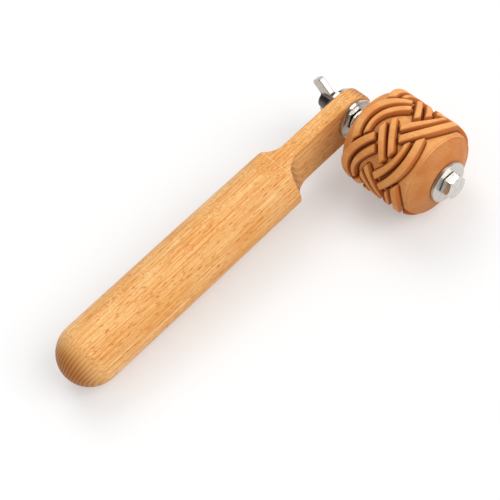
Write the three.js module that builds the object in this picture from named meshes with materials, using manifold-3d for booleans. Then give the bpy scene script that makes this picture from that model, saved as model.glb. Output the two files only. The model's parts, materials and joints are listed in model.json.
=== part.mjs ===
// A clay texture roller: a plaited wooden roller turning on a bolt at the end of a beech handle.
// Lengths are in millimetres, +Z is up and the tool lies on its roller and the butt of its handle.
// While it is being built, +X runs along the bolt from the wing nut to the hexagon head, +Y runs
// along the handle towards the bolt, and the origin is where the bolt's axis meets the tongue's middle.

import * as THREE from "three";
import { mergeVertices } from "three/addons/utils/BufferGeometryUtils.js";
import Module from "manifold-3d";

const wasm = await Module();
wasm.setup();

// Handle: a round grip with a half-ball butt, thinned to a flat tongue that the bolt goes through.
// The grip is a little slimmer at its neck, and the tongue isn't quite in its middle.
const gripRadius = 14;
const gripReach = 152.7;
const neckRadius = 13.75;
const neckReach = 60;
const bellyReach = 95;
const gripOffset = 0.65;
const tongueThickness = 7.9;
const tongueHeight = 21.2;
const shoulderReach = 43.3;
const rollerSideCove = 12;
const wingNutSideCove = 9.8;
const creaseReach = 42.3;
const easeLength = 9;

// Roller: a turned body with a cone at each end. The wood round the plait is carved away, except
// along the inner end, where a sloping rim is left.
const plaitRadius = 21.95;
const plaitRelief = 2.7;
const rollerLength = 45.2;
const coneLength = 4.6;
const seatRim = 0.6;
const rimWidth = 4.4;
const rimDrop = 0.15;

// Plait: four strands of two bars each, woven round the roller with the same bend on both edges
const bendsPerEdge = 6;
const plainBand = 1.65;
const plaitShift = -0.4;
const barWidth = 3;
const barSpacing = 1.7;
const edgeBarExtra = 0.8;
const wallSlope = 0.16;
const plaitLean = 0.13;
const plaitAngle = THREE.MathUtils.degToRad(112);
const plaitDrift = THREE.MathUtils.degToRad(5);

// Hardware: M6 bolt, thin nut, wing nut and wide washers
const boltRadius = 3;
const headAcrossFlats = 10;
const headHeight = 4;
const headAngle = THREE.MathUtils.degToRad(115);
const nutAcrossFlats = 10;
const nutHeight = 3.2;
const nutAngle = THREE.MathUtils.degToRad(115);
const washerRadius = 9.4;
const washerThickness = 1.6;
const threadShowing = 0.5;

// Wing nut: a tapering boss, and wings given by how high and how far out their corners are
const bossHeight = 8.2;
const bossBaseWall = 1.9;
const bossNoseWall = 0.8;
const wingThickness = 2.6;
const wingFootHeight = 1.05;
const wingFootReach = 7.3;
const wingTipHeight = 7.3;
const wingTipReach = 14.7;
const wingTipRound = 1.2;
const wingCrestHeight = 12.9;
const wingCrestReach = 9.6;
const wingCrestRound = 2.6;
const wingRootSink = 1.7;
const wingRootReach = 2;

// Fits: the room between pieces that touch, and round the bolt
const contactGap = 0.3;
const boltClearance = 0.3;

// Facets
const gripFacets = 48;
const rollerFacets = 72;
const washerFacets = 40;
const boltFacets = 24;
const barSteps = 9;
const cornerSteps = 4;

// Worked out from the sizes above
const boreRadius = boltRadius + boltClearance;
const tongueFace = tongueThickness / 2;
const tipRadius = tongueHeight / 2;
const groundRadius = plaitRadius - plaitRelief;
const seatRadius = washerRadius + seatRim;
const bossBaseRadius = boreRadius + bossBaseWall;
const bossNoseRadius = boreRadius + bossNoseWall;
const tongueWasherX = tongueFace + contactGap;
const nutX = tongueWasherX + washerThickness + contactGap;
const rollerWasherX = nutX + nutHeight + contactGap;
const rollerX = rollerWasherX + washerThickness + contactGap;
const rollerMiddleX = rollerX + rollerLength / 2;
const outerWasherX = rollerX + rollerLength + contactGap;
const headX = outerWasherX + washerThickness + contactGap;
const rearWasherX = -tongueFace - contactGap - washerThickness;
const wingNutX = rearWasherX - contactGap;
const boltEndX = wingNutX - bossHeight - threadShowing;
const plaitMiddleX = rollerMiddleX + plaitShift;
const groundHalfLength = rollerLength / 2 - coneLength;
const strandSwing = groundHalfLength - plainBand - (barSpacing / 2 + barWidth + edgeBarExtra);
const bendSpacing = 2 * Math.PI * plaitRadius / bendsPerEdge;
const restTilt = Math.asin((plaitRadius - gripRadius) / gripReach);

const beech = new THREE.MeshStandardMaterial({ color: 0xe8b272, roughness: 0.6, metalness: 0 });
const carvedBeech = new THREE.MeshStandardMaterial({ color: 0xd99a5e, roughness: 0.65, metalness: 0 });
const platedSteel = new THREE.MeshStandardMaterial({ color: 0xc9c8c6, roughness: 0.25, metalness: 1 });

// Solids: a closed geometry becomes a manifold solid, and a finished solid becomes a geometry again

function solid(geometry) {
  const bare = geometry.clone();
  bare.deleteAttribute("normal");
  bare.deleteAttribute("uv");
  const merged = mergeVertices(bare, 1e-4);
  return new wasm.Manifold(new wasm.Mesh({
    numProp: 3,
    vertProperties: new Float32Array(merged.attributes.position.array),
    triVerts: new Uint32Array(merged.index.array),
  }));
}

function geometryOf(body) {
  const mesh = body.getMesh();
  const geometry = new THREE.BufferGeometry();
  geometry.setAttribute("position", new THREE.BufferAttribute(new Float32Array(mesh.vertProperties), 3));
  geometry.setIndex(new THREE.BufferAttribute(new Uint32Array(mesh.triVerts), 1));
  geometry.computeVertexNormals();
  return geometry;
}

// A turned shape about the bolt's axis. The profile is a closed list of [x, radius].
function turned(profile, facets) {
  const points = profile.map(([x, radius]) => new THREE.Vector2(radius, x));
  const geometry = new THREE.LatheGeometry(points, facets);
  geometry.rotateZ(-Math.PI / 2);
  return geometry;
}

// A hole along the bolt's axis, cut right through whatever lies between the two places
function boltHole(fromX, toX) {
  const overrun = 2;
  const profile = [[fromX - overrun, 0], [fromX - overrun, boreRadius], [toX + overrun, boreRadius], [toX + overrun, 0]];
  return solid(turned(profile, boltFacets));
}

function ring(fromX, toX, radius, facets) {
  const profile = [[fromX, boreRadius], [fromX, radius], [toX, radius], [toX, boreRadius], [fromX, boreRadius]];
  return turned(profile, facets);
}

// An outline of [across, up] points, extruded along +X from one place to another
function slabAlongX(outline, fromX, toX) {
  const shape = new THREE.Shape(outline.map(([y, z]) => new THREE.Vector2(y, z)));
  const geometry = new THREE.ExtrudeGeometry(shape, { depth: toX - fromX, bevelEnabled: false });
  geometry.applyMatrix4(new THREE.Matrix4().set(0, 0, 1, fromX, 1, 0, 0, 0, 0, 1, 0, 0, 0, 0, 0, 1));
  return geometry;
}

function arc(centreX, centreY, radius, fromAngle, toAngle, steps) {
  const points = [];
  for (let i = 0; i <= steps; i++) {
    const angle = fromAngle + (toAngle - fromAngle) * i / steps;
    points.push([centreX + radius * Math.cos(angle), centreY + radius * Math.sin(angle)]);
  }
  return points;
}

// Handle

function handleBlank() {
  const pastTip = 5;
  const buttSteps = 12;
  const butt = arc(0, -gripReach, gripRadius, -Math.PI / 2, 0, buttSteps);
  const points = butt.map(([radius, y]) => new THREE.Vector2(Math.max(radius, 0), y));
  points[0].x = 0;
  points.push(new THREE.Vector2(gripRadius, -bellyReach));
  points.push(new THREE.Vector2(neckRadius, -neckReach));
  points.push(new THREE.Vector2(neckRadius, tipRadius + pastTip));
  points.push(new THREE.Vector2(0, tipRadius + pastTip));
  return solid(new THREE.LatheGeometry(points, gripFacets).translate(gripOffset, 0, 0));
}

// Seen from above, a cove on each side takes the grip in to the tongue. It starts on the grip's side
// and ends along the tongue's face.
function cove(radius, gripSide) {
  const coveSteps = 9;
  const centreX = tongueFace + radius;
  const centreY = -shoulderReach + Math.sqrt(radius ** 2 - (centreX - gripSide) ** 2);
  return arc(centreX, centreY, radius, 1.5 * Math.PI, Math.PI, coveSteps);
}

function tonguePlan() {
  const margin = 5;
  const wide = Math.max(gripRadius + gripOffset, tongueFace + rollerSideCove, tongueFace + wingNutSideCove) + margin;
  const butt = -gripReach - gripRadius - margin;
  const tip = tipRadius + margin;
  const right = cove(rollerSideCove, neckRadius + gripOffset);
  const left = cove(wingNutSideCove, neckRadius - gripOffset).map(([x, y]) => [-x, y]).reverse();
  const outline = [[-wide, butt], [wide, butt], [wide, right[0][1]], ...right, [tongueFace, tip],
    [-tongueFace, tip], ...left, [-wide, left.at(-1)[1]]];
  const shape = new THREE.Shape(outline.map(([x, y]) => new THREE.Vector2(x, y)));
  const geometry = new THREE.ExtrudeGeometry(shape, { depth: 2 * wide, bevelEnabled: false });
  geometry.translate(0, 0, -wide);
  return solid(geometry);
}

// Seen from the side, the grip eases down to the tongue's height and the tip is round about the bolt
function tongueProfile() {
  const margin = 5;
  const tipSteps = 20;
  const butt = -gripReach - gripRadius - margin;
  const high = gripRadius + margin;
  const easeStart = -creaseReach - easeLength * (high - tipRadius) / (neckRadius - tipRadius);
  const tip = arc(0, 0, tipRadius, -Math.PI / 2, Math.PI / 2, tipSteps);
  const outline = [[butt, -high], [easeStart, -high], [-creaseReach, -tipRadius], ...tip,
    [-creaseReach, tipRadius], [easeStart, high], [butt, high]];
  return solid(slabAlongX(outline, -high, high));
}

function makeHandle() {
  const shaped = handleBlank().intersect(tonguePlan()).intersect(tongueProfile());
  return geometryOf(shaped.subtract(boltHole(-tongueFace, tongueFace)));
}

// Plait. A strand swings from edge to edge as it goes round: place is counted in bend spacings,
// and the strand is at the outer edge where place is 0 and at the inner edge where it is 2.

function strandPoint(place) {
  return [strandSwing * Math.cos(place * Math.PI / 2), place * bendSpacing];
}

function strandSide(place) {
  const slope = -strandSwing * Math.sin(place * Math.PI / 2) * Math.PI / 2 / bendSpacing;
  const length = Math.hypot(1, slope);
  return [1 / length, -slope / length];
}

// How far a strand's outer edge stands from its middle: in a bend, the bar on the outside is wider
function strandHalfWidth(place, side) {
  return barSpacing / 2 + barWidth + edgeBarExtra * side * Math.cos(place * Math.PI / 2) ** 3;
}

function offsetPoint(place, offset) {
  const [x, along] = strandPoint(place);
  const [sideX, sideAlong] = strandSide(place);
  return [x + offset * sideX, along + offset * sideAlong];
}

// Room left between a point of the roller's surface and a strand that crosses over it there
function roomBeside(point, crossingPlace) {
  let room = Infinity;
  const samples = 80;
  for (let i = 0; i <= samples; i++) {
    const place = crossingPlace - 1 + 2 * i / samples;
    const [x, along] = strandPoint(place);
    const distance = Math.hypot(point[0] - x, point[1] - along);
    const [sideX, sideAlong] = strandSide(place);
    const side = Math.sign((point[0] - x) * sideX + (point[1] - along) * sideAlong);
    room = Math.min(room, distance - strandHalfWidth(place, side));
  }
  return room;
}

// The three stretches of a strand that show: the bend at the outer end, the bend at the inner end
// and the crossing in the middle. At each end of a stretch another strand lies over it, so many
// bends further on, and the bars stop short of it. The carver left more wood here than there.
const stretches = [
  { from: -0.5, to: 1, under: { bends: -1, place: 0.5, gap: 1 }, next: { bends: 2, place: -1, gap: 1.5 } },
  { from: 1, to: 2.5, under: { bends: 2, place: -1, gap: 1.5 }, next: { bends: 1, place: 1.5, gap: 0.8 } },
  { from: 2.5, to: 3.5, under: { bends: 1, place: 1.5, gap: 2.7 }, next: { bends: 3, place: 0.5, gap: 1.5 } },
];

// Where one edge of a bar starts and ends
function edgeEnds(stretch, offsetAt) {
  const step = 0.01;
  const clear = (place, crossing) => {
    const [x, along] = offsetPoint(place, offsetAt(place));
    return roomBeside([x, along - crossing.bends * bendSpacing], crossing.place) > crossing.gap;
  };
  let start = stretch.from;
  while (!clear(start, stretch.under)) start += step;
  let end = stretch.to;
  while (!clear(end, stretch.next)) end -= step;
  return { start, end };
}

// A point of the unrolled surface, set on the roller. The bends drift a little closer on one side.
function onRoller([x, along], radius, bend) {
  const turn = (along + plaitLean * x) / plaitRadius + bend * 2 * Math.PI / bendsPerEdge;
  const angle = plaitAngle + turn + plaitDrift * Math.sin(turn);
  return [plaitMiddleX + x, radius * Math.cos(angle), radius * Math.sin(angle)];
}

function makeBar(stretch, side, bend) {
  const inner = () => side * barSpacing / 2;
  const outer = (place) => side * strandHalfWidth(place, side);
  const low = side > 0 ? inner : outer;
  const high = side > 0 ? outer : inner;
  const lowEnds = edgeEnds(stretch, low);
  const highEnds = edgeEnds(stretch, high);
  const footRadius = groundRadius - 1;
  const footSpread = wallSlope * (plaitRadius - footRadius);
  const positions = [];
  for (let i = 0; i <= barSteps; i++) {
    const lowPlace = THREE.MathUtils.lerp(lowEnds.start, lowEnds.end, i / barSteps);
    const highPlace = THREE.MathUtils.lerp(highEnds.start, highEnds.end, i / barSteps);
    const lowOffset = low(lowPlace);
    const highOffset = high(highPlace);
    positions.push(...onRoller(offsetPoint(lowPlace, lowOffset), plaitRadius, bend));
    positions.push(...onRoller(offsetPoint(highPlace, highOffset), plaitRadius, bend));
    positions.push(...onRoller(offsetPoint(highPlace, highOffset + footSpread), footRadius, bend));
    positions.push(...onRoller(offsetPoint(lowPlace, lowOffset - footSpread), footRadius, bend));
  }
  const index = [];
  for (let i = 0; i < barSteps; i++) {
    for (let k = 0; k < 4; k++) {
      const a = 4 * i + k;
      const b = 4 * i + (k + 1) % 4;
      index.push(a, b + 4, b, a, a + 4, b + 4);
    }
  }
  const last = 4 * barSteps;
  index.push(0, 1, 2, 0, 2, 3);
  index.push(last, last + 2, last + 1, last, last + 3, last + 2);
  const geometry = new THREE.BufferGeometry();
  geometry.setAttribute("position", new THREE.BufferAttribute(new Float32Array(positions), 3));
  geometry.setIndex(index);
  return solid(geometry);
}

function makeRoller() {
  const endX = rollerX + rollerLength;
  const rimRadius = plaitRadius - rimDrop;
  const rimX = rollerX + coneLength + rimWidth;
  const profile = [
    [rollerX, boreRadius], [rollerX, seatRadius], [rollerX + coneLength, groundRadius],
    [rimX, rimRadius], [rimX + wallSlope * (rimRadius - groundRadius), groundRadius],
    [rollerMiddleX + groundHalfLength, groundRadius],
    [endX, seatRadius], [endX, boreRadius], [rollerX, boreRadius],
  ];
  let body = solid(turned(profile, rollerFacets));
  for (let bend = 0; bend < bendsPerEdge; bend++) {
    for (const stretch of stretches) {
      for (const side of [-1, 1]) {
        body = body.add(makeBar(stretch, side, bend));
      }
    }
  }
  return geometryOf(body);
}

// Hardware

function hexagon(acrossFlats, angle) {
  const corner = acrossFlats / Math.sqrt(3);
  return arc(0, 0, corner, angle, angle + 2 * Math.PI * 5 / 6, 5);
}

// A hexagon whose corners are cut back by a cone on the faces named
function chamferedHexagon(acrossFlats, angle, fromX, toX, chamferFrom, chamferTo) {
  const corner = acrossFlats / Math.sqrt(3);
  const flat = 0.95 * acrossFlats / 2;
  const rise = (corner - flat) * Math.tan(Math.PI / 6);
  const past = corner + 1;
  const profile = [[fromX, 0]];
  profile.push(...(chamferFrom ? [[fromX, flat], [fromX + rise, corner]] : [[fromX, past]]));
  profile.push(...(chamferTo ? [[toX - rise, corner], [toX, flat]] : [[toX, past]]));
  profile.push([toX, 0]);
  return solid(slabAlongX(hexagon(acrossFlats, angle), fromX, toX)).intersect(solid(turned(profile, washerFacets)));
}

function makeBolt() {
  const shankInHead = 1;
  const head = chamferedHexagon(headAcrossFlats, headAngle, headX, headX + headHeight, false, true);
  const chamfer = 0.6;
  const shank = [
    [boltEndX, 0], [boltEndX, boltRadius - chamfer], [boltEndX + chamfer, boltRadius],
    [headX + shankInHead, boltRadius], [headX + shankInHead, 0],
  ];
  return geometryOf(head.add(solid(turned(shank, boltFacets))));
}

function makeNut() {
  const nut = chamferedHexagon(nutAcrossFlats, nutAngle, nutX, nutX + nutHeight, true, true);
  return geometryOf(nut.subtract(boltHole(nutX, nutX + nutHeight)));
}

// A shape with rounded corners. Each corner is [across, up, how much of its sides the round takes].
function roundedShape(corners) {
  const shape = new THREE.Shape();
  corners.forEach(([x, y, round], i) => {
    const here = new THREE.Vector2(x, y);
    const before = new THREE.Vector2(...corners.at(i - 1));
    const after = new THREE.Vector2(...corners[(i + 1) % corners.length]);
    const start = here.clone().add(before.sub(here).setLength(round));
    const end = here.clone().add(after.sub(here).setLength(round));
    if (i === 0) {
      shape.moveTo(start.x, start.y);
    } else {
      shape.lineTo(start.x, start.y);
    }
    if (round > 0) shape.quadraticCurveTo(x, y, end.x, end.y);
  });
  shape.closePath();
  return shape;
}

// The boss tapers to its nose, and the two wings lean away from the handle as they go out
function makeWingNut() {
  const noseX = wingNutX - bossHeight;
  const boss = solid(turned([
    [noseX, 0], [noseX, bossNoseRadius], [wingNutX, bossBaseRadius], [wingNutX, 0],
  ], washerFacets));
  const wing = [
    [wingNutX - wingFootHeight, wingFootReach, 0],
    [wingNutX - wingTipHeight, wingTipReach, wingTipRound],
    [wingNutX - wingCrestHeight, wingCrestReach, wingCrestRound],
    [noseX + wingRootSink, wingRootReach, 0],
  ];
  const otherWing = wing.map(([x, reach, round]) => [x, -reach, round]).reverse();
  const wings = new THREE.ExtrudeGeometry(roundedShape([...wing, ...otherWing]), {
    depth: wingThickness, bevelEnabled: false, curveSegments: cornerSteps,
  });
  wings.translate(0, 0, -wingThickness / 2);
  wings.rotateX(Math.PI / 2);
  return geometryOf(boss.add(solid(wings)).subtract(boltHole(noseX, wingNutX)));
}

// Assembly

const tool = new THREE.Group();

function addPiece(name, geometry, material) {
  const mesh = new THREE.Mesh(geometry, material);
  mesh.name = name;
  tool.add(mesh);
}

function addWasher(name, fromX) {
  addPiece(name, ring(fromX, fromX + washerThickness, washerRadius, washerFacets), platedSteel);
}

addPiece("handle", makeHandle(), beech);
addPiece("roller", makeRoller(), carvedBeech);
addPiece("hex_bolt", makeBolt(), platedSteel);
addPiece("thin_nut", makeNut(), platedSteel);
addPiece("wing_nut", makeWingNut(), platedSteel);
addWasher("outer_washer", outerWasherX);
addWasher("roller_washer", rollerWasherX);
addWasher("tongue_washer", tongueWasherX);
addWasher("rear_washer", rearWasherX);

// The tool is tipped so that the roller and the butt both touch the table, and then moved so that
// the origin is on the table, under the middle of its box.
tool.rotation.x = restTilt;
tool.updateMatrixWorld(true);
const box = new THREE.Box3().setFromObject(tool, true);
const middle = box.getCenter(new THREE.Vector3());
tool.position.set(-middle.x, -middle.y, -box.min.z);

const model = new THREE.Group();
model.add(tool);

export default model;
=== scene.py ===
# %% [markdown]
# # A clay texture roller
# The real thing is a potter's tool, about 18 cm long. A beech handle is thinned at one end to a flat
# tongue, and a bolt goes through the tongue. A beech roller with a plait carved round it turns on
# the bolt between wide washers, and a wing nut behind the tongue holds everything together.
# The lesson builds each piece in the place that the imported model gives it, and then gives it the
# finish of the real one: oiled beech, darker carved beech and bright plated steel.

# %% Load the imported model
import json
import math

import bmesh
import bpy
import numpy as np
from mathutils import Matrix, Quaternion, Vector


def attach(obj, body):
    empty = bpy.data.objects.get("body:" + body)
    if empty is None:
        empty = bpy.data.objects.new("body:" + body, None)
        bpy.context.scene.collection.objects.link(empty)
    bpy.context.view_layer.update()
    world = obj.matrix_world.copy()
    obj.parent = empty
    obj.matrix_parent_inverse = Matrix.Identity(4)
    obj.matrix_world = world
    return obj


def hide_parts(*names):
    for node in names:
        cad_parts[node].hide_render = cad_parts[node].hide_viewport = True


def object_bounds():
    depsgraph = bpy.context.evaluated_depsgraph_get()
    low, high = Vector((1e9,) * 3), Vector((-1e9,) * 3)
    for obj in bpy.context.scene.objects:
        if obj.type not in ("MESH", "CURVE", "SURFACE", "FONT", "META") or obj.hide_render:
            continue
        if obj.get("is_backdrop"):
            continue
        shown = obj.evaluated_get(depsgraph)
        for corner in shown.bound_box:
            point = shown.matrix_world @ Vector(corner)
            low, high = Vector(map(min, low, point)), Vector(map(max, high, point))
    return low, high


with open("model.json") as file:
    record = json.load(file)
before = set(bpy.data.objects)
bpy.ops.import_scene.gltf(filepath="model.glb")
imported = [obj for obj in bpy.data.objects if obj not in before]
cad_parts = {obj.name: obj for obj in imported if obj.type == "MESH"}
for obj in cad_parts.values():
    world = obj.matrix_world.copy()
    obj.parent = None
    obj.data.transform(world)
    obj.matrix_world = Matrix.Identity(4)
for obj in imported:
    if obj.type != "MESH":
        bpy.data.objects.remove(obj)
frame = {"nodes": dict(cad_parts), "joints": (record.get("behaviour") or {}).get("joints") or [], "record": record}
cad_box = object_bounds()
scene = bpy.context.scene
print("packed nodes:", ", ".join(sorted(frame["nodes"])))

# %% [markdown]
# The tool lies on its roller and on the butt of its handle, so it is a little tilted. It is easier
# to think in the tool's own directions: X along the bolt, from the wing nut to the hexagon head,
# Y along the handle towards the bolt, and the origin where the bolt goes through the tongue.
# Points are worked out in millimetres in those directions, and each piece's object carries the
# turn and shift that put it on the table.

# %% The tool's own directions
MM = 0.001
PLAIT_RADIUS = 21.95
GRIP_RADIUS = 14.0
GRIP_REACH = 152.7

spin = next(joint for joint in frame["joints"] if joint["name"] == "roller_spin")
rest_tilt = math.asin((PLAIT_RADIUS - GRIP_RADIUS) / GRIP_REACH)
tool = Matrix.Translation(spin["pos_m"]) @ Matrix.Rotation(rest_tilt, 4, "X")
print(f"the tool is tilted by {math.degrees(rest_tilt):.2f} degrees")

# %% [markdown]
# The camera looks down on the tool from in front and to the right, with a long lens, and it is
# rolled a little so that the handle runs from the lower left corner of the picture.

# %% Camera
AIM = Vector((-0.018883, 0.003809, -0.003980))
CAMERA_DISTANCE = 0.5667
CAMERA_AZIMUTH = math.radians(60.261)
CAMERA_ELEVATION = math.radians(55.015)
CAMERA_ROLL = math.radians(-16.340)
LENS = 93.51
SENSOR_WIDTH = 36

back = Vector((
    math.sin(CAMERA_AZIMUTH) * math.cos(CAMERA_ELEVATION),
    -math.cos(CAMERA_AZIMUTH) * math.cos(CAMERA_ELEVATION),
    math.sin(CAMERA_ELEVATION),
))
camera_data = bpy.data.cameras.new("camera")
camera_data.lens = LENS
camera_data.sensor_width = SENSOR_WIDTH
camera_data.clip_start = 0.01
camera = bpy.data.objects.new("camera", camera_data)
scene.collection.objects.link(camera)
camera.location = AIM + CAMERA_DISTANCE * back
camera.rotation_mode = "QUATERNION"
camera.rotation_quaternion = (-back).to_track_quat("-Z", "Y") @ Quaternion((0, 0, 1), CAMERA_ROLL)
scene.camera = camera
print("camera at", [round(value, 4) for value in camera.location])

# %% [markdown]
# Materials are made of nodes, and adding a node, setting it and joining it up takes several lines
# each time. Small helpers do all three: an input is given either a value or another node's socket.

# %% Helpers for nodes
def fill_inputs(tree, node, inputs):
    """Gives a node's inputs their values, or joins them to other nodes' sockets."""
    for key, value in inputs.items():
        if isinstance(value, bpy.types.NodeSocket):
            tree.links.new(value, node.inputs[key])
        else:
            node.inputs[key].default_value = value
    return node


def add_node(tree, kind, inputs=None, **settings):
    """Adds a shader node, sets it, and joins or sets its inputs."""
    node = tree.nodes.new("ShaderNode" + kind)
    for name, value in settings.items():
        setattr(node, name, value)
    return fill_inputs(tree, node, inputs or {})


def calculate(tree, operation, *values):
    """A Math node's result."""
    return add_node(tree, "Math", dict(enumerate(values)), operation=operation).outputs[0]


def vector_maths(tree, operation, *values, result="Vector"):
    """A Vector Math node's result: a vector, or for some operations a plain value."""
    node = add_node(tree, "VectorMath", dict(enumerate(values)), operation=operation)
    return node.outputs[result]


def remap(tree, value, low, high, to_low=0.0, to_high=1.0):
    """Takes low..high smoothly to to_low..to_high."""
    inputs = {"Value": value, "From Min": low, "From Max": high, "To Min": to_low, "To Max": to_high}
    return add_node(tree, "MapRange", inputs, interpolation_type="SMOOTHSTEP").outputs["Result"]


def mix_colours(tree, factor, first, second, blend_type="MIX"):
    """Mixes two colours, which are values or sockets."""
    inputs = {0: factor, 6: first, 7: second}
    return add_node(tree, "Mix", inputs, data_type="RGBA", blend_type=blend_type).outputs[2]


def mesh_mask(tree, name):
    """A mask that the mesh carries, as a value."""
    return add_node(tree, "Attribute", attribute_name=name).outputs["Fac"]


def colour(red, green, blue):
    """A colour as a painter mixes it on screen, from 0 to 255, as the numbers that a shader wants."""
    shares = [value / 255 for value in (red, green, blue)]
    linear = [s / 12.92 if s <= 0.04045 else ((s + 0.055) / 1.055) ** 2.4 for s in shares]
    return (*linear, 1.0)


def new_group(name, inputs, outputs):
    """An empty node group. Inputs and outputs are given as name: kind of socket."""
    tree = bpy.data.node_groups.new(name, "ShaderNodeTree")
    for direction, sockets in (("INPUT", inputs), ("OUTPUT", outputs)):
        for socket, kind in sockets.items():
            tree.interface.new_socket(socket, in_out=direction, socket_type="NodeSocket" + kind)
    return tree, tree.nodes.new("NodeGroupInput"), tree.nodes.new("NodeGroupOutput")


def place_group(tree, group, inputs):
    """Places a node group in a material and joins or sets its inputs."""
    node = tree.nodes.new("ShaderNodeGroup")
    node.node_tree = group
    return fill_inputs(tree, node, inputs)


def new_material(name):
    """A material whose Principled shader is returned with it."""
    material = bpy.data.materials.new(name)
    material.use_nodes = True
    return material, material.node_tree, material.node_tree.nodes["Principled BSDF"]


print("node helpers are ready")

# %% [markdown]
# The tool was photographed on white paper between softboxes, one behind the wing nut, one beyond
# the roller and one at the back. Suns with very wide discs stand for them: they light the paper
# evenly, give shadows with wide soft edges, and bright steel mirrors their discs. The world gives
# the light that the white room sends back. In reflections it is white only near the horizon and
# beyond the tool, because steel looks grey and flat where there is nothing dark to mirror. The
# paper is lit like everything else, so it catches the shadows, and a little glow that only the
# camera and reflections see takes it up to white.

# %% Light, paper and world
SOFTBOXES = {
    "left_softbox": (Vector((-0.57, 0.29, 0.77)), 0.75, math.radians(34)),
    "right_softbox": (Vector((0.64, 0.36, 0.68)), 1.42, math.radians(45)),
    "back_softbox": (Vector((-0.05, 0.70, 0.71)), 0.20, math.radians(55)),
}
WORLD_LIGHT = 0.58
DARK_ROOM = 0.10
BRIGHT_HORIZON = 0.95
HORIZON_FADE = (0.25, 0.65)
BEYOND_SLANT = 0.6
BEYOND_FADE = (-0.5, 0.15)
PAPER_WHITE = 0.66
PAPER_GLOW = 0.29
PAPER_SIZE = 6.0

for name, (direction, power, spread) in SOFTBOXES.items():
    lamp_data = bpy.data.lights.new(name, "SUN")
    lamp_data.energy = power
    lamp_data.angle = spread
    lamp = bpy.data.objects.new(name, lamp_data)
    lamp.rotation_mode = "QUATERNION"
    lamp.rotation_quaternion = direction.to_track_quat("Z", "Y")
    scene.collection.objects.link(lamp)


def seen_directly(tree):
    """1 for what the camera, a reflection or a look through glass sees, and 0 for light that bounces."""
    path = add_node(tree, "LightPath").outputs
    seen = calculate(tree, "MAXIMUM", path["Is Camera Ray"], path["Is Glossy Ray"])
    return calculate(tree, "MAXIMUM", seen, path["Is Transmission Ray"])


paper_material, paper_tree = new_material("white_paper")[:2]
paper_tree.nodes.clear()
paper = add_node(paper_tree, "BsdfDiffuse", {"Color": (PAPER_WHITE, PAPER_WHITE, PAPER_WHITE, 1)})
glow_strength = calculate(paper_tree, "MULTIPLY", seen_directly(paper_tree), PAPER_GLOW)
glow = add_node(paper_tree, "Emission", {"Strength": glow_strength})
both = add_node(paper_tree, "AddShader", {0: paper.outputs[0], 1: glow.outputs[0]})
add_node(paper_tree, "OutputMaterial", {"Surface": both.outputs[0]})

floor_mesh = bpy.data.meshes.new("floor")
half_paper = PAPER_SIZE / 2
floor_mesh.from_pydata(
    [(x * half_paper, y * half_paper, 0) for x, y in ((-1, -1), (1, -1), (1, 1), (-1, 1))],
    [], [(0, 1, 2, 3)],
)
floor_mesh.materials.append(paper_material)
floor = bpy.data.objects.new("floor", floor_mesh)
scene.collection.objects.link(floor)
floor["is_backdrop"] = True

world = bpy.data.worlds.new("studio")
scene.world = world
world.use_nodes = True
world_tree = world.node_tree
world_tree.nodes.clear()
path = add_node(world_tree, "LightPath").outputs
way = add_node(world_tree, "SeparateXYZ", {0: add_node(world_tree, "TexCoord").outputs["Generated"]}).outputs
low = remap(world_tree, way["Z"], *HORIZON_FADE, 1.0, 0.0)
far = calculate(world_tree, "MULTIPLY_ADD", way["Y"], BEYOND_SLANT, way["X"])
bright = calculate(world_tree, "MULTIPLY", low, remap(world_tree, far, *BEYOND_FADE))
mirrored = remap(world_tree, bright, 0.0, 1.0, DARK_ROOM, BRIGHT_HORIZON)
in_mirror = calculate(world_tree, "MAXIMUM", path["Is Glossy Ray"], path["Is Transmission Ray"])
room = add_node(world_tree, "Mix", {0: in_mirror, 2: WORLD_LIGHT, 3: mirrored}).outputs[0]
strength = add_node(world_tree, "Mix", {0: path["Is Camera Ray"], 2: room, 3: 1.0}).outputs[0]
studio = add_node(world_tree, "Background", {"Color": (1, 1, 1, 1), "Strength": strength})
add_node(world_tree, "OutputWorld", {"Surface": studio.outputs[0]})
scene.view_settings.view_transform = "Standard"
print(len(SOFTBOXES), "softboxes, white paper and a white room")

# %% [markdown]
# Beech is pale and even. What tells it from other woods is its rays: on faces that look at the
# tree's heart they are short dark flecks along the grain, and on faces at right angles to those
# they are broad silky flakes. One solid pattern gives both, because a ray is a thin plate: narrow
# round the tree, a few millimetres along the grain and long towards the heart. Faint growth rings,
# long streaks, fine pores and a cloudy tone are added in the same solid way, so that the pattern
# runs through the wood and shows the right face on every side.
# The group wants its directions as X round the tree, Y along the grain and Z away from the heart.
# Each noise in the table has the size of its blobs in millimetres in those three directions, its
# detail, and the two values between which it is sharpened from nothing to full.

# %% Node group: the figure of beech
NOISES = {
    "flecks": ((0.42, 3.2, 0.42), 0.5, (0.63, 0.71)),
    "pores": ((0.24, 2.0, 0.24), 1.0, (0.54, 0.70)),
    "streaks": ((0.42, 26, 0.42), 3.0, (0.42, 0.62)),
    "curls": ((1.3, 0.9, 1.3), 1.0, (0.46, 0.64)),
    "patches": ((6, 14, 6), 1.0, (0.46, 0.58)),
    "clouds": ((9, 34, 9), 2.0, None),
    "waver": ((22, 90, 22), 1.0, None),
}
NOISE_ROUGHNESS = 0.55
WAVER_REACH = 6.0
END_GRAIN_FADE = (0.04, 0.95)
SIDE_GRAIN_FADE = (0.15, 0.55)
FLAKE_SIDE = (0.80, 0.0, 0.60)
FLAKE_FADE = (0.78, 0.96)
RING_FADE = (0.15, 0.6)


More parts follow.
